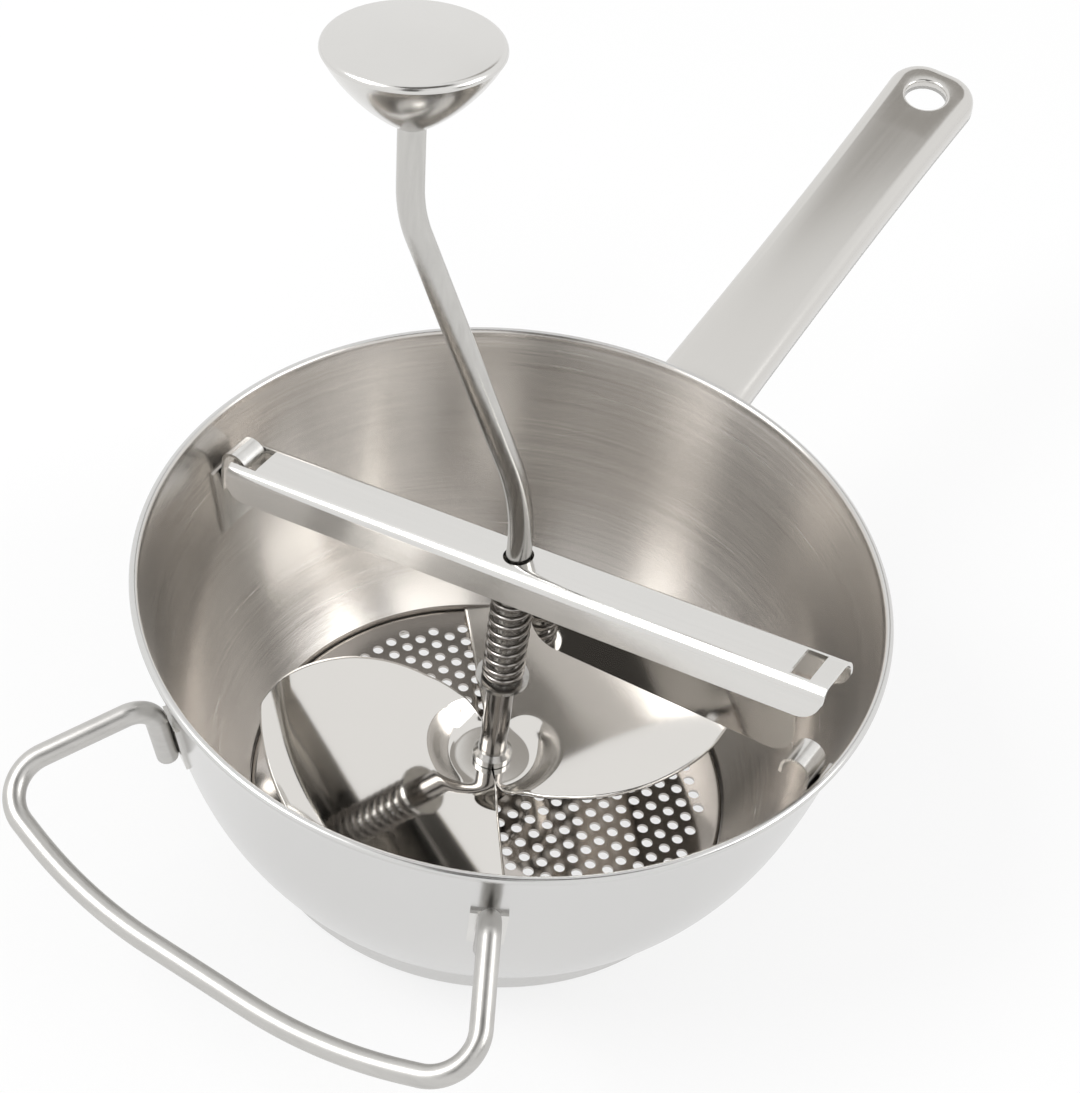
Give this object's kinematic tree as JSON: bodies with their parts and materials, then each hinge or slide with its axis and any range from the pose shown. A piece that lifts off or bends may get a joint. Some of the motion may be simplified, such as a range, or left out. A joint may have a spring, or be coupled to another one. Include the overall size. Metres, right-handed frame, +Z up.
{
  "type": "food mill",
  "caption": "Hand-cranked rotary food mill: deep bowl with perforated base, sprung twin-lobe blade on a cranked shaft, tilting crossbar, long handle and wire rest.",
  "frame": {"origin": "on the bowl's axis, in the plane that its foot stands on", "axes": "+Z up along the bowl's axis, +X towards the long handle, -Y towards the crossbar's free end"},
  "size_m": [0.4695, 0.24, 0.3028],
  "materials": {
    "bowl_steel": "stainless steel, brushed in circles inside, satin outside",
    "sieve_steel": "stainless steel, bright rolled",
    "blade_steel": "stainless steel, mirror polished",
    "rod_steel": "stainless steel rod, satin",
    "spring_steel": "spring steel wire, bright",
    "bar_steel": "stainless steel sheet, polished",
    "clip_steel": "stainless steel strip, satin",
    "handle_steel": "stainless steel sheet, fine satin",
    "knob_steel": "stainless steel, polished",
    "bush_plastic": "plain bearing plastic"
  },
  "bodies": {
    "bowl": {"bowl": "bowl_steel", "sieve_disc": "sieve_steel", "disc_pivot": "rod_steel", "left_clip": "clip_steel", "right_clip": "clip_steel", "handle_shell": "handle_steel", "handle_saddle": "handle_steel", "wire_handle": "rod_steel", "left_bracket": "clip_steel", "right_bracket": "clip_steel"},
    "crank": {"crank_rod": "rod_steel", "blade": "blade_steel", "hub_collar": "blade_steel", "shaft_sleeve": "rod_steel", "lower_washer": "rod_steel", "pressure_spring": "spring_steel", "knob_retainer": "rod_steel"},
    "crossbar": {"crossbar": "bar_steel", "stop_plate": "bar_steel", "upper_washer": "rod_steel"},
    "knob": {"knob_cup": "knob_steel", "knob_cap": "knob_steel", "knob_bush": "bush_plastic"}
  },
  "joints": [
    {"name": "crank_spin", "type": "hinge", "parent": "bowl", "child": "crank", "pos_m": [0, 0, 0], "axis": [0, 0, 1], "continuous": true},
    {"name": "crossbar_tilt", "type": "hinge", "parent": "bowl", "child": "crossbar", "pos_m": [0, 0.106, 0.104], "axis": [-1, 0, 0], "range_deg": [-9.2, 1.5], "stiffness_Nm_per_rad": 3, "springref_deg": 2.66, "deforming": ["pressure_spring"]},
    {"name": "knob_spin", "type": "hinge", "parent": "crank", "child": "knob", "pos_m": [-0.0228, 0.03805, 0.28244], "axis": [0.0739, 0.1055, 0.9917], "continuous": true}
  ]
}
